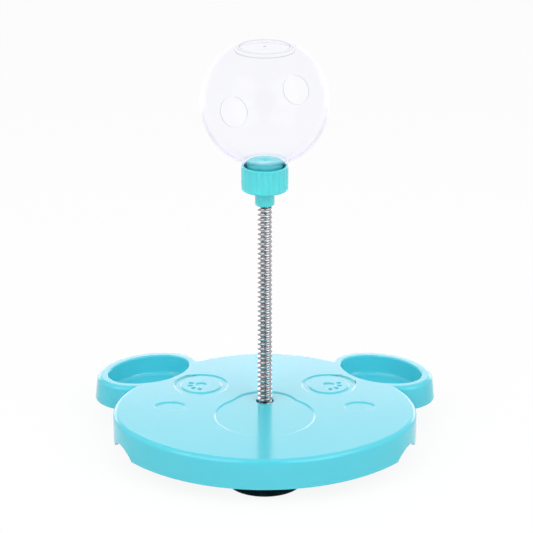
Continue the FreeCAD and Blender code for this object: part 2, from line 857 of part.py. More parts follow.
# Cap, stopper and ring
def make_cap():
    """The screw cap: ribbed skirt, neck boss with the spring's bore, and an inner tower."""
    top = cap_bottom + cap_height
    floor_top = cap_bottom + cap_floor
    boss_bottom = cap_bottom - neck_boss_length
    bore = coil_outside / 2 + COIL_GAP
    skirt_inner = cap_radius - cap_skirt
    shelf = cap_roof + web
    corners = [
        (bore, boss_bottom),
        (neck_boss - boss_edge, boss_bottom),
        (neck_boss, boss_bottom + boss_edge, boss_edge, 1),
        (neck_boss, cap_bottom),
        (cap_radius - cap_edge, cap_bottom),
        (cap_radius, cap_bottom + cap_edge, cap_edge, 1),
        (cap_radius, top - cap_rim_edge),
        (cap_radius - cap_rim_edge, top),
        (skirt_inner, top),
        (skirt_inner, floor_top),
        (tower_radius, floor_top),
        (tower_radius, tower_top),
        (tower_radius - tower_wall, tower_top),
        (tower_radius - tower_wall, shelf),
        (screw_hole, shelf),
        (screw_hole, cap_roof),
        (bore, cap_roof),
    ]
    body = revolved("ball_cap", corners, None, spring_y)
    plain = body.Tip.Shape.Volume
    sketch = new_sketch(body, "XY_Plane", cap_bottom - OVERLAP)
    mouth = cap_radius + grip_bite
    draw_profile(sketch, [(cap_radius - grip_bite, 0), (mouth, -grip_width), (mouth, grip_width)])
    pocket = body.newObject("PartDesign::Pocket", "grip_flute")
    pocket.Profile = sketch
    pocket.Reversed = True
    bind(pocket, "Length", cap_height - grip_margin + OVERLAP)
    doc.recompute()
    if pocket.Shape.Volume >= plain:
        raise RuntimeError("the grip flute cuts nothing")
    flutes = body.newObject("PartDesign::PolarPattern", "grip_flutes")
    flutes.Originals = [pocket]
    flutes.Axis = (sketch, ["N_Axis"])
    flutes.Angle = 360
    flutes.Occurrences = int(grip_count.number)
    bind(flutes, "Occurrences", grip_count)
    body.Tip = flutes
    doc.recompute()
    return body


def make_stopper():
    """The round stopper that fills the ball's neck and covers the upper screw."""
    bottom = cap_bottom + cap_floor + SEAT_GAP
    inner = tower_radius + SEAT_GAP
    corners = [
        (inner, bottom),
        (stopper_radius, bottom),
        (stopper_radius, stopper_top - stopper_edge),
        (stopper_radius - stopper_edge, stopper_top, stopper_edge, 1),
        (0, stopper_top),
        (0, stopper_top - stopper_wall),
        (inner, stopper_top - stopper_wall),
    ]
    return revolved("neck_stopper", corners, None, spring_y)


def make_neck_ring():
    """The soft ring that the ball's neck screws down on."""
    bottom = cap_bottom + cap_floor + SEAT_GAP
    corners = [
        (stopper_radius + SEAT_GAP, bottom),
        (ring_outer, bottom),
        (ring_outer, bottom + ring_height),
        (stopper_radius + SEAT_GAP, bottom + ring_height),
    ]
    return revolved("neck_ring", corners, None, spring_y)


# Ball
def leak_bore(label, heading, tilt):
    """A round bore from the ball's centre outwards, at a heading from +Y and a tilt upwards."""
    bore = primitive(
        "Cylinder", f"leak_bore_{label}", (0, spring_y, ball_z),
        Radius=leak_radius, Height=drill_reach,
    )
    turn = math.radians(heading.number)
    rise = math.radians(tilt.number)
    way = V(math.sin(turn) * math.cos(rise), math.cos(turn) * math.cos(rise), math.sin(rise))
    bore.Placement.Rotation = FreeCAD.Rotation(V(0, 0, 1), way)
    return bore


def make_ball():
    """The clear blown ball: neck below, flat seat on top, and two round leak holes."""
    bottom = cap_bottom + cap_floor + ring_height + SEAT_GAP * 2
    flat = ball_z + flat_height
    inside = ball_radius - ball_wall
    flat_radius = root(ball_radius * ball_radius - flat_height * flat_height)
    inner_height = flat_height - ball_wall
    inner_flat_radius = root(inside * inside - inner_height * inner_height)
    neck_join = ball_z - root(ball_radius * ball_radius - neck_radius * neck_radius)
    bore_join = ball_z - root(inside * inside - neck_bore * neck_bore)
    corners = [
        (neck_bore, bottom),
        (neck_radius, bottom),
        (neck_radius, neck_join),
        (flat_radius, flat, ball_radius, 1),
        (0, flat),
        (0, flat - ball_wall),
        (inner_flat_radius, flat - ball_wall),
        (neck_bore, bore_join, inside, -1),
    ]
    body = revolved("blown_ball", corners, None, spring_y)
    turned = body.Tip
    rounded = round_edges(body, turned, neck_blend, ring_edge(neck_radius, neck_join))
    round_edges(body, rounded, seat_edge, ring_edge(flat_radius, flat))
    bores = [
        leak_bore("front", front_leak_heading, front_leak_tilt),
        leak_bore("back", back_leak_heading, back_leak_tilt),
    ]
    return cut("treat_ball", body, fused("leak_bores", bores))


# The parts, in the order that they go together on a bench
parts = {"base_shell": make_base()}
for label, heading in CUP_HEADINGS.items():
    parts[f"suction_cup_{label}"] = make_suction_cup(label, heading)
parts["spring"] = make_spring()
socket_underside = socket_floor - web
shelf_top = cap_roof + web
parts["foot_plug"] = make_plug("foot_plug", socket_floor, 1)
parts["foot_washer"] = make_washer("foot_washer", socket_underside, -1)
parts["foot_screw"] = make_screw("foot_screw", socket_underside, -1)
parts["ball_cap"] = make_cap()
parts["head_plug"] = make_plug("head_plug", cap_roof, -1)
parts["head_washer"] = make_washer("head_washer", shelf_top, 1)
parts["head_screw"] = make_screw("head_screw", shelf_top, 1)
parts["neck_stopper"] = make_stopper()
parts["neck_ring"] = make_neck_ring()
parts["treat_ball"] = make_ball()

doc.recompute()
for thing in doc.Objects:
    if "Invalid" in thing.State or "Error" in thing.State:
        raise RuntimeError(f"{thing.Name} failed: {thing.State}")
os.makedirs("parts", exist_ok=True)
for node, thing in parts.items():
    shape = thing.Shape
    if shape.isNull() or not shape.isValid():
        raise RuntimeError(f"{node} has no valid shape")
    thing.Label = node
    shape.exportStep(f"parts/{node}.step")
    print(f"{node}: {len(shape.Solids)} solid, volume {shape.Volume:.0f} mm3")
print(f"{len(parts)} parts")
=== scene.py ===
import math

import bmesh
import bpy
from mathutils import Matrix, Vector


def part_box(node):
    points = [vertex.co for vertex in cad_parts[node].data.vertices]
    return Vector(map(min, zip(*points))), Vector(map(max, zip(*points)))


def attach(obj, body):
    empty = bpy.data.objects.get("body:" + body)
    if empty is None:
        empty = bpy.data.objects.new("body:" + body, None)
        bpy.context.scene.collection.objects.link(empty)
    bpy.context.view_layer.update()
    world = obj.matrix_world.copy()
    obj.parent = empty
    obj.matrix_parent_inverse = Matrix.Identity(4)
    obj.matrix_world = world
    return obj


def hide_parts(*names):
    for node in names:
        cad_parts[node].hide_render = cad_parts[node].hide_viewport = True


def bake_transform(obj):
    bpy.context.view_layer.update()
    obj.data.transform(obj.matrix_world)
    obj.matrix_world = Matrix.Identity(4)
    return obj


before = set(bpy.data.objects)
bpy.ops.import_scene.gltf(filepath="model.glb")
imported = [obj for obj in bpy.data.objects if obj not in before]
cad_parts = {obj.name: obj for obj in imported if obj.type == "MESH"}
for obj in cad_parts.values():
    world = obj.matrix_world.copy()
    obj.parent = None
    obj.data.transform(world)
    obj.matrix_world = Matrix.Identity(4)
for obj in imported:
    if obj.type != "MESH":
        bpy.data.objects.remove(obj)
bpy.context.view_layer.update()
MM = 0.001

# Sizes that the frame doesn't give, in millimetres

# The base: its top plate, the middles of its ears and eyes, how far the bowls' mouths and
# the toe prints lie from those, and how far the mould's edges are rounded
PLATE_TOP = 28.5
EAR_X, EAR_Y = 72.5, 52.2
EYE_X, EYE_Y = 39.2, 27.4
BOWL_REACH = 29
TOES_NEAR, TOES_FAR = 4.4, 9
EDGE_WIDTHS = {"bowl mouth": 0.9, "toe print": 0.15, "elsewhere": 0.42}

# The ball: its seat's height over the middle, the seat's edge and the heel under it, the
# neck and its thread, and the leak holes with their heading and tilt in degrees
BALL_WALL = 0.9
FLAT_HEIGHT = 33.3
SEAT_EDGE = 16.3
HEEL_RADIUS = 17.1
HEEL_DEPTH = 2.6
NECK_RADIUS = 11.5
NECK_BORE = 10.6
THREAD_PITCH = 3.18
THREAD_TURNS = 1.5
THREAD_DEPTH = 0.55
LEAK_RADIUS = 8.75
LEAK_WAYS = {"front": (209.2, 5.3), "back": (30.7, -2.4)}

# The spring: its wire, its ends, and the heights between which it is free to bend
WIRE = 1.8
COIL_RADIUS = 3.6
COIL_TURNS = 48
COIL_LOW, COIL_HIGH = 18.1, 163.9

# The cap: its grips, the boss round the spring, and the tower with its roof
CAP_GRIPS = 24
CAP_BORE = 4.65
CAP_BOSS = 5.75
BOSS_HEIGHT = 9.6
TOWER_RADIUS = 8.9
TOWER_BORE = 6.9
TOWER_TOP = 173.5
ROOF_LOW, ROOF_TOP = 165.0, 167.2


# Places taken from the frame, in millimetres
def span(node, axis):
    """The lowest and highest value of a node along x (0), y (1) or z (2)."""
    low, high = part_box(node)
    return low[axis] / MM, high[axis] / MM


def middle(node, axis):
    low, high = span(node, axis)
    return (low + high) / 2


AXIS_Y = middle("spring", 1)
CAP_LOW = span("ball_cap", 2)[0]
CAP_RADIUS = span("ball_cap", 0)[1]
BALL_RADIUS = span("treat_ball", 0)[1]
BALL_LOW, BALL_TOP = span("treat_ball", 2)
BALL_Z = BALL_TOP - FLAT_HEIGHT
STOPPER_LOW, STOPPER_TOP = span("neck_stopper", 2)
STOPPER_RADIUS = span("neck_stopper", 0)[1]
RING_LOW, RING_TOP = span("neck_ring", 2)
RING_RADIUS = span("neck_ring", 0)[1]
CAP_SKIRT_LOW = CAP_LOW + BOSS_HEIGHT

# The studio's lamps: name, place, width, height and power, in metres and watts
LAMPS = (
    ("softbox_left", (-0.9, -0.95, 1.0), 1.3, 1.3, 11.4),
    ("softbox_right", (0.95, -0.95, 1.0), 1.3, 1.3, 12.6),
    ("overhead", (0.1, 0.1, 1.5), 1.6, 1.6, 0.4),
)

# Height in metres and radiance of the panels behind the object
PANELS = ((0.27, 1.3), (0.31, 0.5), (0.36, 0.2), (0.46, 0.75))


# Modelling helpers
def deselect():
    for thing in list(bpy.context.selected_objects):
        thing.select_set(False)


def work_on(piece):
    """Makes a piece the only selected one."""
    deselect()
    piece.select_set(True)
    bpy.context.view_layer.objects.active = piece


def edit(piece):
    work_on(piece)
    bpy.ops.object.mode_set(mode="EDIT")
    bpy.ops.mesh.select_mode(type="VERT")


def leave_edit():
    bpy.ops.object.mode_set(mode="OBJECT")


def settle(piece):
    """Puts the piece's place into its mesh, so that its object sits at the origin."""
    work_on(piece)
    bpy.ops.object.transform_apply(location=True, rotation=True, scale=True)


def named(name):
    """The piece that was just added, under its name and settled."""
    piece = bpy.context.object
    piece.name = name
    piece.data.name = name
    settle(piece)
    return piece


def select_where(piece, kind, test):
    """Selects only the verts, edges or faces that test picks. Lengths are in millimetres."""
    bpy.ops.mesh.select_all(action="DESELECT")
    modes = {"verts": "VERT", "edges": "EDGE", "faces": "FACE"}
    bpy.ops.mesh.select_mode(type=modes[kind])
    mesh = bmesh.from_edit_mesh(piece.data)
    for part in getattr(mesh, kind):
        part.select_set(test(part))
    mesh.select_flush_mode()
    bmesh.update_edit_mesh(piece.data)


def reach(point, x=0.0, y=None):
    """A point's distance from an upright axis, in millimetres."""
    axis_y = AXIS_Y if y is None else y
    return math.hypot(point.x / MM - x, point.y / MM - axis_y)


def apply_modifiers(piece):
    work_on(piece)
    for modifier in list(piece.modifiers):
        bpy.ops.object.modifier_apply(modifier=modifier.name)


def mend(piece):
    """Merges doubled points and points every face outwards."""
    edit(piece)
    bpy.ops.mesh.select_all(action="SELECT")
    bpy.ops.mesh.remove_doubles(threshold=0.002 * MM)
    bpy.ops.mesh.normals_make_consistent(inside=False)
    leave_edit()


def soften(piece, widths, zone_of):
    """Rounds the sharp edges, as a mould's polished edges are. zone_of names the zone of an
    edge from its middle, and widths gives each zone's width, both in millimetres."""
    widest = max(widths.values())
    sharp = math.radians(32)
    edit(piece)
    for zone, width in widths.items():
        def in_zone(edge, zone=zone):
            midpoint = (edge.verts[0].co + edge.verts[1].co) / 2 / MM
            return edge.calc_face_angle(0.0) > sharp and zone_of(midpoint) == zone
        select_where(piece, "edges", in_zone)
        bpy.ops.transform.edge_bevelweight(value=width / widest)
    leave_edit()
    bevel = piece.modifiers.new("soft_edges", "BEVEL")
    bevel.width = widest * MM
    bevel.segments = 2
    bevel.limit_method = "WEIGHT"
    bevel.miter_outer = "MITER_ARC"
    bevel.use_clamp_overlap = False
    apply_modifiers(piece)


def smooth(piece, angle=40):
    work_on(piece)
    bpy.ops.object.shade_smooth_by_angle(angle=math.radians(angle))


def steady_normals(piece):
    """Lets the large faces set the shading, so that flat plates stay flat between soft edges."""
    weigh = piece.modifiers.new("steady", "WEIGHTED_NORMAL")
    weigh.mode = "FACE_AREA"
    weigh.weight = 100
    weigh.keep_sharp = True
    apply_modifiers(piece)


def cut_away(piece, tool, operation="DIFFERENCE"):
    """Cuts a tool out of a piece, or joins it on, and deletes the tool."""
    boolean = piece.modifiers.new("cut", "BOOLEAN")
    boolean.operation = operation
    boolean.solver = "EXACT"
    boolean.object = tool
    apply_modifiers(piece)
    bpy.data.objects.remove(tool)


def arc(centre, radius, start, end, steps):
    """(radius, height) points on an arc, from a start angle to an end angle in degrees."""
    points = []
    for step in range(steps + 1):
        angle = math.radians(start + (end - start) * step / steps)
        points.append((centre[0] + radius * math.cos(angle), centre[1] + radius * math.sin(angle)))
    return points


def turned(name, outline, sides=96, x=0.0, y=None, ring=True):
    """A piece turned about an upright axis. A circle is drawn out along the outline's
    (radius, height) points. The last ring joins the first, or else both ends are filled."""
    axis_y = AXIS_Y if y is None else y
    radius, height = outline[0]
    bpy.ops.mesh.primitive_circle_add(
        vertices=sides, radius=radius * MM, location=(x * MM, axis_y * MM, height * MM)
    )
    piece = named(name)
    edit(piece)
    bpy.ops.mesh.select_all(action="SELECT")
    for (radius, height), (next_radius, next_height) in zip(outline, outline[1:]):
        rise = (0, 0, (next_height - height) * MM)
        bpy.ops.mesh.extrude_region_move(TRANSFORM_OT_translate={"value": rise})
        grow = next_radius / radius
        bpy.ops.transform.resize(
            value=(grow, grow, 1), center_override=(x * MM, axis_y * MM, 0)
        )
    bpy.ops.mesh.select_all(action="DESELECT")
    bpy.ops.mesh.select_non_manifold()
    if ring:
        bpy.ops.mesh.bridge_edge_loops()
    else:
        bpy.ops.mesh.fill_holes(sides=0)
    leave_edit()
    mend(piece)
    return piece


# Material helpers
def paint(hex_code):
    """A hex sRGB colour as the linear RGBA that the shaders use."""
    channels = [int(hex_code[place:place + 2], 16) / 255 for place in (1, 3, 5)]
    linear = [c / 12.92 if c <= 0.04045 else ((c + 0.055) / 1.055) ** 2.4 for c in channels]
    return (*linear, 1.0)


def add(tree, kind, settings=None, **links):
    """Adds a node. Settings are its properties or its sockets' values; links are
    socket=(node, output), with spaces in a socket's name written as underscores."""
    node = tree.nodes.new(kind)
    for key, value in (settings or {}).items():
        if isinstance(key, int) or key in node.inputs:
            node.inputs[key].default_value = value
        else:
            setattr(node, key, value)
    for key, (source, output) in links.items():
        socket = int(key[1:]) if key[0] == "_" else key.replace("_", " ")
        tree.links.new(source.outputs[output], node.inputs[socket])
    return node


def new_material(name, settings):
    """A material with a Principled shader, and its tree, shader and object coordinates."""
    material = bpy.data.materials.new(name)
    material.use_nodes = True
    tree = material.node_tree
    shader = tree.nodes["Principled BSDF"]
    for key, value in settings.items():
        shader.inputs[key].default_value = value
    place = add(tree, "ShaderNodeTexCoord")
    return material, tree, shader, place


def moulded_plastic(name, shade, deep_shade, roughness, grain=0.9, grain_height=0.004):
    """Injection-moulded plastic. The polish of the mould gives a close gloss with a faint
    orange peel, and the melt's flow leaves the colour a little cloudy. Light goes into it a
    little, most of all the green and blue, so that hollows glow in a deeper teal."""
    material, tree, shader, place = new_material(
        name,
        {"IOR": 1.53, "Roughness": roughness, "Subsurface Weight": 0.35,
         "Subsurface Radius": (0.3, 1.0, 1.1), "Subsurface Scale": 3 * MM},
    )
    cloud = add(
        tree, "ShaderNodeTexNoise", {"Scale": 1 / (22 * MM), "Detail": 3.0, "Roughness": 0.55},
        Vector=(place, "Object"),
    )
    tone = add(
        tree, "ShaderNodeMix",
        {"data_type": "RGBA", 6: paint(deep_shade), 7: paint(shade)},
        Factor=(cloud, "Fac"),
    )
    tree.links.new(tone.outputs[2], shader.inputs["Base Color"])
    peel = add(
        tree, "ShaderNodeTexNoise", {"Scale": 1 / (grain * MM), "Detail": 2.0},
        Vector=(place, "Object"),
    )
    relief = add(
        tree, "ShaderNodeBump", {"Strength": 0.35, "Distance": grain_height * MM},
        Height=(peel, "Fac"),
    )
    tree.links.new(relief.outputs["Normal"], shader.inputs["Normal"])
    haze = add(
        tree, "ShaderNodeMapRange",
        {"From Min": 0.2, "From Max": 0.8, "To Min": roughness * 0.9, "To Max": roughness * 1.1},
        Value=(cloud, "Fac"),
    )
    tree.links.new(haze.outputs["Result"], shader.inputs["Roughness"])
    return material


def clear_pet(name, face_tint, outline_shade_tint, milk=0.0):
    """Blow-moulded clear PET, seen as a thin sheet: nearly all light passes, and the gloss grows
    towards the outline. Towards the outline the sheet is tinted grey, most of all low down. Part
    of this grey is the longer way through the wall, which is thickest low down. The rest is
    painted shade that stands in for the dark that the curved wall bends in. The thick neck is a
    little milky."""
    thickest = BALL_Z - 34
    gloss_start, gloss_end = BALL_Z - 20, BALL_Z - 32
    rim_power, schlick_power = 8.0, 5.0
    least_gloss = 0.006
    material, tree, shader, place = new_material(name, {})
    tree.nodes.remove(shader)
    wave = add(
        tree, "ShaderNodeTexNoise", {"Scale": 1 / (16 * MM), "Detail": 1.0},
        Vector=(place, "Object"),
    )
    relief = add(
        tree, "ShaderNodeBump", {"Strength": 0.3, "Distance": 0.03 * MM}, Height=(wave, "Fac")
    )
    slant = add(tree, "ShaderNodeLayerWeight", {"Blend": 0.5})
    parts = add(tree, "ShaderNodeSeparateXYZ", Vector=(place, "Object"))
    lowness = add(
        tree, "ShaderNodeMapRange",
        {"From Min": BALL_Z * MM, "From Max": thickest * MM, "To Min": 0.12, "To Max": 0.8},
        Value=(parts, "Z"),
    )
    mirror = add(
        tree, "ShaderNodeMapRange",
        {"From Min": gloss_start * MM, "From Max": gloss_end * MM, "To Min": 0.12,
         "To Max": 0.6},
        Value=(parts, "Z"),
    )
    steep = add(
        tree, "ShaderNodeMath", {"operation": "POWER", 1: rim_power}, _0=(slant, "Facing")
    )
    # Grey towards the outline, most of all low down: partly the thicker wall, partly painted shade
    # standing in for the dark that the curved wall bends in
    depth = add(
        tree, "ShaderNodeMath", {"operation": "MULTIPLY"}, _0=(steep, 0), _1=(lowness, "Result")
    )
    tint = add(
        tree, "ShaderNodeMix",
        {"data_type": "RGBA", 6: paint(face_tint), 7: paint(outline_shade_tint)},
        Factor=(depth, 0),
    )
    clear = add(tree, "ShaderNodeBsdfTransparent", Color=(tint, 2))
    gloss = add(
        tree, "ShaderNodeBsdfGlossy", {"Color": paint("#E2E9F8"), "Roughness": 0.09},
        Normal=(relief, "Normal"),
    )
    schlick = add(
        tree, "ShaderNodeMath", {"operation": "POWER", 1: schlick_power},
        _0=(slant, "Facing"),
    )
    share = add(
        tree, "ShaderNodeMath", {"operation": "MULTIPLY_ADD", 2: least_gloss},
        _0=(schlick, 0), _1=(mirror, "Result"),
    )
    body = clear
    if milk:
        cloud = add(tree, "ShaderNodeBsdfDiffuse", {"Color": paint("#EEF6FB")})
        body = add(tree, "ShaderNodeMixShader", {0: milk}, _1=(clear, 0), _2=(cloud, 0))
    sheet = add(tree, "ShaderNodeMixShader", _0=(share, 0), _1=(body, 0), _2=(gloss, 0))
    tree.links.new(sheet.outputs[0], tree.nodes["Material Output"].inputs["Surface"])
    return material


def drawn_steel():
    """Cold-drawn spring steel. The die leaves it bright and hard, with fine dark streaks
    and a trace of oil that make the reflections uneven from turn to turn."""
    material, tree, shader, place = new_material(
        "drawn_spring_steel", {"Metallic": 1.0, "Roughness": 0.2}
    )
    stain = add(
        tree, "ShaderNodeTexNoise", {"Scale": 1 / (2.4 * MM), "Detail": 4.0, "Roughness": 0.6},
        Vector=(place, "Object"),
    )
    tone = add(
        tree, "ShaderNodeMix",
        {"data_type": "RGBA", 6: paint("#94979A"), 7: paint("#C2C4C6")},
        Factor=(stain, "Fac"),
    )
    tree.links.new(tone.outputs[2], shader.inputs["Base Color"])
    wear = add(
        tree, "ShaderNodeMapRange",
        {"From Min": 0.3, "From Max": 0.7, "To Min": 0.13, "To Max": 0.26},
        Value=(stain, "Fac"),
    )
    tree.links.new(wear.outputs["Result"], shader.inputs["Roughness"])
    scratch = add(
        tree, "ShaderNodeTexNoise", {"Scale": 1 / (0.5 * MM), "Detail": 2.0},
        Vector=(place, "Object"),
    )
    relief = add(
        tree, "ShaderNodeBump", {"Strength": 0.1, "Distance": 0.003 * MM},
        Height=(scratch, "Fac"),
    )
    tree.links.new(relief.outputs["Normal"], shader.inputs["Normal"])
    return material


def zinc_plate():
    """Zinc-plated carbon steel: a bright, slightly bluish skin with a mottled passivation."""
    material, tree, shader, place = new_material(
        "zinc_plated_steel", {"Metallic": 1.0, "Roughness": 0.32}
    )
    mottle = add(
        tree, "ShaderNodeTexNoise", {"Scale": 1 / (0.8 * MM), "Detail": 3.0},
        Vector=(place, "Object"),
    )
    tone = add(
        tree, "ShaderNodeMix",
        {"data_type": "RGBA", 6: paint("#A9AEB4"), 7: paint("#D4D7DA")},
        Factor=(mottle, "Fac"),
    )
    tree.links.new(tone.outputs[2], shader.inputs["Base Color"])
    relief = add(
        tree, "ShaderNodeBump", {"Strength": 0.25, "Distance": 0.006 * MM},
        Height=(mottle, "Fac"),
    )
    tree.links.new(relief.outputs["Normal"], shader.inputs["Normal"])
    return material


def cup_rubber():
    """Compression-moulded black rubber. Its skin is smooth and a little oily, so it has a
    soft gloss with dull patches where dust has been wiped off."""
    material, tree, shader, place = new_material(
        "moulded_black_rubber", {"IOR": 1.52, "Roughness": 0.3}
    )
    bloom = add(
        tree, "ShaderNodeTexNoise", {"Scale": 1 / (6 * MM), "Detail": 4.0},
        Vector=(place, "Object"),
    )
    tone = add(
        tree, "ShaderNodeMix",
        {"data_type": "RGBA", 6: paint("#060D11"), 7: paint("#11191D")},
        Factor=(bloom, "Fac"),
    )
    tree.links.new(tone.outputs[2], shader.inputs["Base Color"])
    dull = add(
        tree, "ShaderNodeMapRange",
        {"From Min": 0.35, "From Max": 0.7, "To Min": 0.22, "To Max": 0.45},
        Value=(bloom, "Fac"),
    )
    tree.links.new(dull.outputs["Result"], shader.inputs["Roughness"])
    return material


def ring_foam():
    """Closed-cell polyethylene foam: a matt, off-white sheet with a fine pitted skin."""
    material, tree, shader, place = new_material("pe_foam_sheet", {"Roughness": 0.75})
    cells = add(
        tree, "ShaderNodeTexVoronoi", {"Scale": 1 / (0.35 * MM)}, Vector=(place, "Object")
    )
    tone = add(
        tree, "ShaderNodeMix",
        {"data_type": "RGBA", 6: paint("#E3E3DE"), 7: paint("#F4F4F1")},
        Factor=(cells, "Distance"),
    )
    tree.links.new(tone.outputs[2], shader.inputs["Base Color"])
    relief = add(
        tree, "ShaderNodeBump", {"Strength": 0.5, "Distance": 0.05 * MM},
        Height=(cells, "Distance"),
    )
    tree.links.new(relief.outputs["Normal"], shader.inputs["Normal"])
    return material


def dress(piece, *materials):
    """Gives a piece or a frame node its materials. The first one covers it all over."""
    piece.data.materials.clear()
    for material in materials:
        piece.data.materials.append(material)


def assign(piece, index):
    """Gives the selected faces, in edit mode, one of the piece's materials."""
    piece.active_material_index = index
    bpy.ops.object.material_slot_assign()


def finish_piece(piece, body, material, slot, *nodes):
    """Dresses a piece, unless it is dressed already, sets it on its body if it has one, and hides
    the frame nodes that it stands for."""
    if material:
        dress(piece, material)
    if body:
        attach(piece, body)
    if nodes:
        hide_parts(*nodes)


# Base
def base_zone(point):
    """Where an edge of the base is: at a bowl's mouth, in a toe print, or elsewhere."""
    side = math.copysign(1, point.x)
    if point.z > PLATE_TOP - 0.1:
        if math.hypot(point.x - EAR_X * side, point.y - EAR_Y) < BOWL_REACH:
            return "bowl mouth"
        if TOES_NEAR < math.hypot(point.x - EYE_X * side, point.y - EYE_Y) < TOES_FAR:
            return "toe print"
    return "elsewhere"


def moulded_base():
    """The base's own shape with its facets merged and its sharp edges rounded."""
    work_on(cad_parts["base_shell"])
    bpy.ops.object.duplicate()
    piece = bpy.context.object
    piece.parent = None
    piece.name = "moulded_base"
    piece.data.name = "moulded_base"
    settle(piece)
    edit(piece)
    bpy.ops.mesh.select_all(action="SELECT")
    bpy.ops.mesh.remove_doubles(threshold=0.001 * MM)
    bpy.ops.mesh.dissolve_limited(angle_limit=math.radians(0.5))
    leave_edit()
    soften(piece, EDGE_WIDTHS, base_zone)
    smooth(piece, 50)
    steady_normals(piece)
    return piece


# Suction cups
def suction_cup(node):
    """A black cup: barbed stud, stepped flange, domed back and a thin flared lip."""
    x, y = middle(node, 0), middle(node, 1)
    radius = span(node, 0)[1] - x
    stud_top = span(node, 2)[1]
    stud, barb, barb_rise = 3.3, 4.0, 2.25
    flange, flange_low, flange_top = 8.6, 8.0, 9.95
    lip, lip_top = 1.2, 0.8
    hollow = 4.6
    outline = [(stud, flange_top)]
    for level in (1, 2, 3):
        rise = flange_top + barb_rise * level
        outline += [(stud, rise - 0.7), (barb, rise), (barb - 0.3, rise + 0.5)]
    outline[-1] = (stud + 0.1, stud_top - 0.3)
    outline.append((stud - 0.4, stud_top))
    outline.reverse()
    outline += [(flange - 0.3, flange_top), (flange, flange_top - 0.3), (flange, flange_low)]
    for step in range(1, 9):
        share = step / 8
        droop = flange_low - (flange_low - lip_top) * share ** 1.7
        outline.append((flange + (radius - 0.3 - flange) * share, droop))
    outline += [(radius, 0.5), (radius - 0.1, 0.1), (radius - 0.4, 0.0), (radius - lip, 0.0)]
    for step in range(1, 12):
        share = step / 12
        inner = (radius - lip) * (1 - share)
        outline.append((inner, hollow * (1 - (1 - share) ** 2)))
        # Fine rings that grip the floor
        if step in (3, 5):
            outline.append((inner - 0.35, outline[-1][1] + 0.3))
    piece = turned(f"{node}_moulding", outline, x=x, y=y, ring=False)
    smooth(piece, 50)
    return piece


# Spring
def close_winding(piece):
    """Applies a winding, puts it on the spring's axis and fills its two ends."""
    apply_modifiers(piece)
    piece.location.y = AXIS_Y * MM
    settle(piece)
    edit(piece)
    bpy.ops.mesh.select_all(action="DESELECT")
    bpy.ops.mesh.select_non_manifold()
    bpy.ops.mesh.fill_holes(sides=0)
    leave_edit()
    mend(piece)


def coil_half(name, low_turn, high_turn):
    """Half of the spring: a round wire's section screwed up about the spring's axis."""
    pitch = (COIL_HIGH - COIL_LOW) / COIL_TURNS
    wire_sides, turn_steps = 14, 36
    bpy.ops.mesh.primitive_circle_add(
        vertices=wire_sides, radius=WIRE / 2 * MM, rotation=(math.pi / 2, 0, 0)
    )
    piece = named(name)
    edit(piece)
    bpy.ops.mesh.select_all(action="SELECT")
    start = (COIL_RADIUS * MM, 0, (COIL_LOW + pitch * low_turn) * MM)
    bpy.ops.transform.translate(value=start)
    leave_edit()
    screw = piece.modifiers.new("winding", "SCREW")
    screw.axis = "Z"
    screw.angle = 2 * math.pi
    screw.screw_offset = pitch * MM
    screw.iterations = high_turn - low_turn
    screw.steps = turn_steps
    screw.render_steps = turn_steps
    close_winding(piece)
    smooth(piece, 60)
    return piece


def wind_spring(material):
    """The spring as two halves: its lower and its upper turns."""
    half = COIL_TURNS // 2
    lower = coil_half("spring_lower_half", 0, half)
    upper = coil_half("spring_upper_half", half, COIL_TURNS)
    for piece in (lower, upper):
        finish_piece(piece, None, material, "spring_steel", "spring")
    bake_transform(lower)
    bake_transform(upper)


# Cap, stopper and ring
def thread(name, radius, depth, low, turns):
    """A helical ridge, with its section screwed up about the spring's axis."""
    bpy.ops.mesh.primitive_circle_add(vertices=4, radius=1 * MM, rotation=(math.pi / 2, 0, 0))
    piece = named(name)
    edit(piece)
    sunk, foot, crest = 0.25, 0.95, 0.35
    corners = ((-sunk, -foot), (-sunk, foot), (depth, crest), (depth, -crest))
    mesh = bmesh.from_edit_mesh(piece.data)
    mesh.verts.ensure_lookup_table()
    for vertex, (out, up) in zip(mesh.verts, corners):
        vertex.co = Vector(((radius + out) * MM, 0, (low + up) * MM))
    bmesh.update_edit_mesh(piece.data)
    leave_edit()
    screw = piece.modifiers.new("lead", "SCREW")
    screw.axis = "Z"
    screw.angle = 2 * math.pi * turns
    screw.screw_offset = THREAD_PITCH * turns * MM
    screw.steps = int(96 * turns)
    screw.render_steps = screw.steps
    close_winding(piece)
    return piece


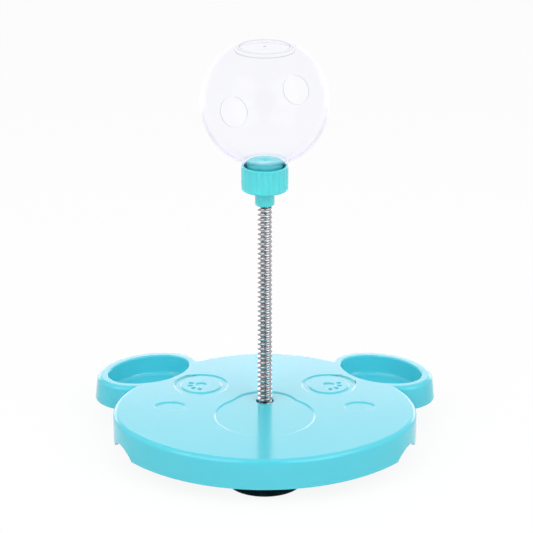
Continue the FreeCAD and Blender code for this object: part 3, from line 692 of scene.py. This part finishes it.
def ribbed_cap():
    """The screw cap: rolled lower edge, ribbed grip, light rim, and the tower inside."""
    floor_top = CAP_SKIRT_LOW + 2
    top = CAP_SKIRT_LOW + 15
    grip_low, grip_top = CAP_SKIRT_LOW + 2.2, top - 1.6
    boss, skirt = CAP_BOSS, CAP_RADIUS
    screw_hole = 1.7
    # Boss, underside and grip
    outline = [(CAP_BORE, CAP_LOW), (boss - 1, CAP_LOW)]
    outline += arc((boss - 1, CAP_LOW + 1), 1, -60, 0, 3)
    outline += [(boss, CAP_SKIRT_LOW - 0.5), (boss + 0.15, CAP_SKIRT_LOW - 0.15)]
    outline += [(boss + 0.5, CAP_SKIRT_LOW), (skirt - 1.2, CAP_SKIRT_LOW)]
    outline += arc((skirt - 1.2, CAP_SKIRT_LOW + 1.2), 1.2, -67.5, 0, 4)
    outline += [(skirt, grip_low - 0.6), (skirt, grip_low), (skirt, grip_top)]
    outline += [(skirt, grip_top + 0.5), (skirt, top - 0.4)]
    # Rim, inside of the skirt and floor
    outline += arc((skirt - 0.4, top - 0.4), 0.4, 30, 90, 3)
    outline += [(skirt - 1.2, top), (skirt - 1.4, top - 0.2), (skirt - 1.4, floor_top + 0.3)]
    outline += [(skirt - 1.7, floor_top), (TOWER_RADIUS + 0.3, floor_top)]
    # Tower, its inside and the roof over the spring
    outline += [(TOWER_RADIUS, floor_top + 0.3), (TOWER_RADIUS, TOWER_TOP - 0.3)]
    outline += [(TOWER_RADIUS - 0.3, TOWER_TOP), (TOWER_BORE + 0.3, TOWER_TOP)]
    outline += [(TOWER_BORE, TOWER_TOP - 0.3), (TOWER_BORE, ROOF_TOP + 0.3)]
    outline += [(TOWER_BORE - 0.3, ROOF_TOP), (screw_hole, ROOF_TOP), (screw_hole, ROOF_LOW)]
    outline.append((CAP_BORE, ROOF_LOW))
    # Each grip has eight corners, and the middle ones are sunk the most
    corners = 8
    sides = CAP_GRIPS * corners
    piece = turned("cap_ribbed", outline, sides)
    edit(piece)
    depth = {4: 0.42, 3: 0.3, 5: 0.3, 2: 0.08, 6: 0.08}
    for place, bite in depth.items():
        def in_groove(vertex, place=place):
            angle = math.atan2(vertex.co.y / MM - AXIS_Y, vertex.co.x / MM)
            index = round(angle / (2 * math.pi) * sides) % corners
            height = vertex.co.z / MM
            on_wall = reach(vertex.co) > skirt - 0.1
            return on_wall and index == place and grip_low - 0.1 < height < grip_top + 0.1
        select_where(piece, "verts", in_groove)
        shrink = 1 - bite / skirt
        bpy.ops.transform.resize(
            value=(shrink, shrink, 1), center_override=(0, AXIS_Y * MM, 0)
        )
    leave_edit()
    smooth(piece, 35)
    return piece


def stopper():
    """The round stopper in the neck: soft top edge and the gate's small pit in the middle."""
    bore = 8.95
    soft = 0.8
    top = STOPPER_TOP
    under = top - 1.45
    outline = [(bore, STOPPER_LOW), (STOPPER_RADIUS - 0.2, STOPPER_LOW)]
    outline.append((STOPPER_RADIUS, STOPPER_LOW + 0.3))
    outline += arc((STOPPER_RADIUS - soft, top - soft), soft, 0, 90, 6)
    outline += [(6.0, top), (1.1, top), (0.9, top - 0.12), (0.55, top - 0.35)]
    outline += [(0.05, top - 0.4), (0.05, under), (bore - 0.3, under), (bore, under - 0.3)]
    piece = turned("stopper_disc", outline)
    smooth(piece, 35)
    return piece


def foam_ring():
    """The die-cut ring that the ball's neck closes on."""
    inner = STOPPER_RADIUS + 0.05
    outline = [
        (inner, RING_LOW), (RING_RADIUS - 0.15, RING_LOW), (RING_RADIUS, RING_LOW + 0.2),
        (RING_RADIUS, RING_TOP - 0.2), (RING_RADIUS - 0.15, RING_TOP), (inner, RING_TOP),
    ]
    piece = turned("neck_foam_ring", outline)
    smooth(piece, 35)
    return piece


# Screws
def cross_head_screw(node, name, downwards):
    """A pan-head screw with a cross recess. Its head faces down, or up."""
    low, high = span(node, 2)
    side = -1 if downwards else 1
    crown = low if downwards else high
    tip = high if downwards else low
    head_height = 2.0
    head = crown - side * head_height
    shank, root, wide = 1.5, 1.28, 2.9
    turns, pitch = 9, 0.8
    recess = (3.2 * MM, 0.75 * MM, 2.0 * MM)
    outline = [(0.5, tip), (shank - 0.05, tip + side * 1.2)]
    for number in range(turns):
        height = tip + side * (1.4 + number * pitch)
        outline += [(shank, height), (root, height + side * pitch / 2)]
    outline += [(shank, head - side * 0.1), (wide - 0.15, head), (wide, head + side * 0.2)]
    outline += [(wide, head + side * 0.9), (wide - 0.3, head + side * 1.45)]
    outline += [(1.9, crown - side * 0.15), (1.2, crown)]
    piece = turned(name, outline, 48, ring=False)
    for turn in (0, math.pi / 2):
        bpy.ops.mesh.primitive_cube_add(
            size=1, location=(0, AXIS_Y * MM, crown * MM), rotation=(0, 0, turn)
        )
        cutter = bpy.context.object
        cutter.scale = recess
        settle(cutter)
        cut_away(piece, cutter)
    mend(piece)
    smooth(piece, 35)
    return piece


# Ball
def ball_outline():
    """The ball's wall from the middle of its seat, down the outside and back up the inside."""
    centre = (0, BALL_Z)
    inside = BALL_RADIUS - BALL_WALL
    top = BALL_TOP
    seat_angle = 61.2
    neck_angle = -math.degrees(math.acos(NECK_RADIUS / BALL_RADIUS))
    bore_angle = -math.degrees(math.acos(NECK_BORE / inside))
    # Gate mark, seat and its soft edge
    outline = [(0.4, top - 0.08), (0.75, top - 0.1), (1.0, top - 0.3), (5, top - 0.3)]
    outline += [(12.5, top - 0.28), (14.2, top - 0.2), (14.9, top - 0.04), (15.2, top)]
    outline += [(SEAT_EDGE - 0.3, top - 0.01), (SEAT_EDGE, top - 0.07)]
    outline.append((SEAT_EDGE + 0.3, top - 0.23))
    # Wall down to the neck
    outline += arc(centre, BALL_RADIUS, seat_angle, neck_angle + 2.2, 80)
    join = BALL_Z + BALL_RADIUS * math.sin(math.radians(neck_angle))
    outline += [(NECK_RADIUS + 0.85, join - 0.05), (NECK_RADIUS + 0.35, join - 0.4)]
    outline += [(NECK_RADIUS + 0.08, join - 0.95), (NECK_RADIUS, join - 1.6)]
    # Neck, outside and inside, with rings that divide its straight walls
    outline += [(NECK_RADIUS, height) for height in (176, 172, 168.5)]
    outline += [(NECK_RADIUS, BALL_LOW + 0.15), (NECK_RADIUS - 0.15, BALL_LOW)]
    outline += [(NECK_BORE + 0.15, BALL_LOW), (NECK_BORE, BALL_LOW + 0.15)]
    outline += [(NECK_BORE, height) for height in (170, 175)]
    inner_join = BALL_Z + inside * math.sin(math.radians(bore_angle))
    outline.append((NECK_BORE, inner_join - 1.4))
    outline += [(NECK_BORE + 0.1, inner_join - 0.8), (NECK_BORE + 0.4, inner_join - 0.25)]
    # The thick heel inside the seat's corner
    heel, floor = top - HEEL_DEPTH, top - BALL_WALL
    heel_angle = math.degrees(math.asin((heel - BALL_Z) / inside))
    outline += arc(centre, inside, bore_angle + 2.0, heel_angle, 76)
    outline += [(HEEL_RADIUS + 0.3, heel), (HEEL_RADIUS, heel + 0.1)]
    outline += [(HEEL_RADIUS - 0.15, heel + 0.4), (SEAT_EDGE - 0.2, floor - 0.1)]
    outline += [(SEAT_EDGE - 0.6, floor), (12.5, floor - 0.05), (5, floor - 0.1)]
    outline.append((0.4, floor - 0.1))
    return outline


def ball_zone(face):
    """0 on the ball's open wall, 1 where the wall turns sharply and bends the light away, which is
    painted there as a grey shade, 2 on the thick shoulder over the neck."""
    centre = face.calc_center_median()
    out, up = reach(centre), centre.z / MM - BALL_Z
    heel = FLAT_HEIGHT - HEEL_DEPTH
    shoulder = 11.2 < out < 13 and -36.3 < up < -34.2
    gate = out < 1.1 and up > FLAT_HEIGHT - 0.5
    seat_step = 14.3 < out < 14.9
    seat_corner = SEAT_EDGE - 0.1 < out < SEAT_EDGE + 0.3
    seat_rings = (seat_step or seat_corner) and up > FLAT_HEIGHT - 0.3
    heel_edge = abs(out - HEEL_RADIUS) < 0.2 and heel - 0.1 < up < heel + 0.4
    if shoulder:
        return 2
    return 1 if gate or seat_rings or heel_edge else 0


def clear_ball(wall, edge, neck):
    """The blown ball: flat seat on top, threaded neck, thin wall and two leak holes."""
    piece = turned("blown_ball_clear", ball_outline(), 128, ring=False)
    dress(piece, wall, edge, neck)
    edit(piece)
    # Where the wall turns sharply, the faces get the sheet with a painted grey shade; the shoulder
    # gets the milky sheet
    for index in (1, 2):
        select_where(piece, "faces", lambda face, index=index: ball_zone(face) == index)
        assign(piece, index)
    leave_edit()
    centre = Vector((0, AXIS_Y * MM, BALL_Z * MM))
    for label, (heading, tilt) in LEAK_WAYS.items():
        turn, rise = math.radians(heading), math.radians(tilt)
        flat = math.cos(rise)
        way = Vector((math.sin(turn) * flat, math.cos(turn) * flat, math.sin(rise)))
        bpy.ops.mesh.primitive_cylinder_add(
            vertices=96, radius=LEAK_RADIUS * MM, depth=BALL_RADIUS * MM,
            location=centre + way * BALL_RADIUS * MM,
            rotation=way.to_track_quat("Z", "Y").to_euler(),
        )
        drill = named(f"leak_drill_{label}")
        # The drill's faces become the holes' cut walls and get the sheet with the painted grey
        # shade
        dress(drill, wall, edge, neck)
        edit(drill)
        bpy.ops.mesh.select_all(action="SELECT")
        assign(drill, 1)
        leave_edit()
        cut_away(piece, drill)
    thread_low = BALL_LOW + 2.6
    ridge = thread("neck_thread", NECK_RADIUS, THREAD_DEPTH, thread_low, THREAD_TURNS)
    cut_away(piece, ridge, "UNION")
    mend(piece)
    smooth(piece, 35)
    return piece


# Studio
def softbox(name, place, aim, width, height, power):
    """A soft rectangular lamp at a place, facing a point. Lengths are in metres."""
    lamp = bpy.data.lights.new(name, "AREA")
    lamp.shape = "RECTANGLE"
    lamp.size = width
    lamp.size_y = height
    lamp.energy = power
    thing = bpy.data.objects.new(name, lamp)
    bpy.context.scene.collection.objects.link(thing)
    thing.location = place
    thing.rotation_euler = (Vector(aim) - Vector(place)).to_track_quat("-Z", "Y").to_euler()
    thing.visible_camera = False
    return thing


def backdrop_panels():
    """Bright panels behind the object, one behind the other and each a little taller, that
    only gloss sees. The base's top mirrors them, most of all at its far side. They are a
    little rosy, so that the glare takes the green out of the teal, as in the photograph."""
    width, distance, step = 1.4, 0.62, 0.002
    for number, (height, radiance) in enumerate(PANELS):
        thing = softbox(
            f"backdrop_panel_{number}", (0, distance + number * step, height / 2),
            (0, 0, height / 2), width, height, radiance * math.pi * width * height,
        )
        thing.data.color = paint("#FFD3DC")[:3]
        thing.visible_diffuse = False


def white_room():
    """The world. It is white to the eye, through clear plastic, and behind the object also
    in reflections. Towards the front it is dimmer, and in reflections dark like the camera's
    side of a studio, so that metal and gloss keep their contrast."""
    world = bpy.data.worlds.new("white_room")
    bpy.context.scene.world = world
    world.use_nodes = True
    tree = world.node_tree
    tree.nodes.clear()
    place = add(tree, "ShaderNodeTexCoord")
    parts = add(tree, "ShaderNodeSeparateXYZ", Vector=(place, "Generated"))
    path = add(tree, "ShaderNodeLightPath")
    shells = []
    # First what lights the object, then what its gloss mirrors
    for darkest, brightest, front_end in ((0.3, 0.66, 0.1), (0.06, 1.0, 0.0)):
        level = add(
            tree, "ShaderNodeMapRange",
            {"interpolation_type": "SMOOTHSTEP", "From Min": -0.95, "From Max": front_end,
             "To Min": darkest, "To Max": brightest},
            Value=(parts, "Y"),
        )
        shells.append(add(
            tree, "ShaderNodeBackground", {"Color": (1, 1, 1, 1)}, Strength=(level, "Result")
        ))
    lit = add(
        tree, "ShaderNodeMixShader", _0=(path, "Is Glossy Ray"), _1=(shells[0], 0),
        _2=(shells[1], 0),
    )
    plain = add(tree, "ShaderNodeBackground", {"Color": (1, 1, 1, 1), "Strength": 1.0})
    seen = add(
        tree, "ShaderNodeMath", {"operation": "MAXIMUM"},
        _0=(path, "Is Camera Ray"), _1=(path, "Is Transmission Ray"),
    )
    mix = add(tree, "ShaderNodeMixShader", _0=(seen, 0), _1=(lit, 0), _2=(plain, 0))
    add(tree, "ShaderNodeOutputWorld", Surface=(mix, 0))


def pale_floor():
    """A wide floor. To the eye it is nearly the background's white, and it keeps a light
    shadow under the object. What it throws back on the object is a pale grey's light."""
    bpy.ops.mesh.primitive_plane_add(size=14)
    floor = named("floor")
    material = bpy.data.materials.new("floor_white")
    material.use_nodes = True
    tree = material.node_tree
    tree.nodes.clear()
    glow = add(tree, "ShaderNodeEmission", {"Color": (1, 1, 1, 1), "Strength": 1.0})
    path = add(tree, "ShaderNodeLightPath")
    through = add(
        tree, "ShaderNodeMath", {"operation": "MAXIMUM"},
        _0=(path, "Is Camera Ray"), _1=(path, "Is Transmission Ray"),
    )
    seen = add(
        tree, "ShaderNodeMath", {"operation": "MAXIMUM"},
        _0=(through, 0), _1=(path, "Is Glossy Ray"),
    )
    tone = add(
        tree, "ShaderNodeMix",
        {"data_type": "RGBA", 6: paint("#DCDCDC"), 7: paint("#FDFDFD")}, Factor=(seen, 0),
    )
    cloth = add(tree, "ShaderNodeBsdfDiffuse", Color=(tone, 2))
    glow_share = 0.9
    share = add(
        tree, "ShaderNodeMath", {"operation": "MULTIPLY", 1: glow_share}, _0=(seen, 0)
    )
    mix = add(tree, "ShaderNodeMixShader", _0=(share, 0), _1=(cloth, 0), _2=(glow, 0))
    add(tree, "ShaderNodeOutputMaterial", Surface=(mix, 0))
    dress(floor, material)


def photo_camera():
    """The camera of the photograph: a long lens, about 20 degrees above the floor."""
    elevation = math.radians(20.35)
    distance = 1.363
    aim = Vector((0.001, AXIS_Y * MM, 0.11431))
    camera = bpy.data.cameras.new("camera")
    camera.sensor_width = 36
    camera.lens = 155.35
    thing = bpy.data.objects.new("camera", camera)
    bpy.context.scene.collection.objects.link(thing)
    offset = Vector((0, -math.cos(elevation), math.sin(elevation))) * distance
    thing.location = aim + offset
    thing.rotation_euler = (-offset).to_track_quat("-Z", "Y").to_euler()
    bpy.context.scene.camera = thing


# The object
def build():
    shell_plastic = moulded_plastic("moulded_abs_teal", "#55D3E3", "#51CFE0", 0.16)
    cap_plastic = moulded_plastic("moulded_pp_teal", "#57DEE5", "#52DAE1", 0.26, 0.6)
    steel = drawn_steel()
    zinc = zinc_plate()
    rubber = cup_rubber()

    finish_piece(moulded_base(), "base", shell_plastic, "shell_plastic", "base_shell")
    for node in ("suction_cup_front", "suction_cup_right", "suction_cup_left"):
        finish_piece(suction_cup(node), "base", rubber, "cup_rubber", node)
    wind_spring(steel)
    foot = cross_head_screw("foot_screw", "foot_cross_screw", True)
    finish_piece(foot, "base", zinc, "screw_steel", "foot_screw")
    head = cross_head_screw("head_screw", "head_cross_screw", False)
    finish_piece(head, "head", zinc, "screw_steel", "head_screw")
    for node in ("foot_plug", "foot_washer", "head_plug", "head_washer"):
        dress(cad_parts[node], zinc)
    finish_piece(ribbed_cap(), "head", cap_plastic, "cap_plastic", "ball_cap")
    finish_piece(stopper(), "head", cap_plastic, "cap_plastic", "neck_stopper")
    finish_piece(foam_ring(), "ring", ring_foam(), "ring_foam", "neck_ring")
    # The edge sheet is greyer all over as painted shade where the wall bends the light away; each
    # sheet's grey outline is partly painted shade
    wall = clear_pet("blown_pet_wall", "#FEFEFF", "#A7ADB4")
    edge = clear_pet("blown_pet_painted_edge_shade", "#E1E1E9", "#B2B3C0")
    neck = clear_pet("blown_pet_shoulder", "#F6F8FC", "#C8CBDC", milk=0.25)
    finish_piece(clear_ball(wall, edge, neck), "ball", None, "clear_plastic", "treat_ball")


def light():
    white_room()
    pale_floor()
    aim = (0, AXIS_Y * MM, 0.12)
    for name, place, width, height, power in LAMPS:
        softbox(name, place, aim, width, height, power)
    backdrop_panels()


build()
light()
photo_camera()
scene = bpy.context.scene
scene.view_settings.view_transform = "Standard"
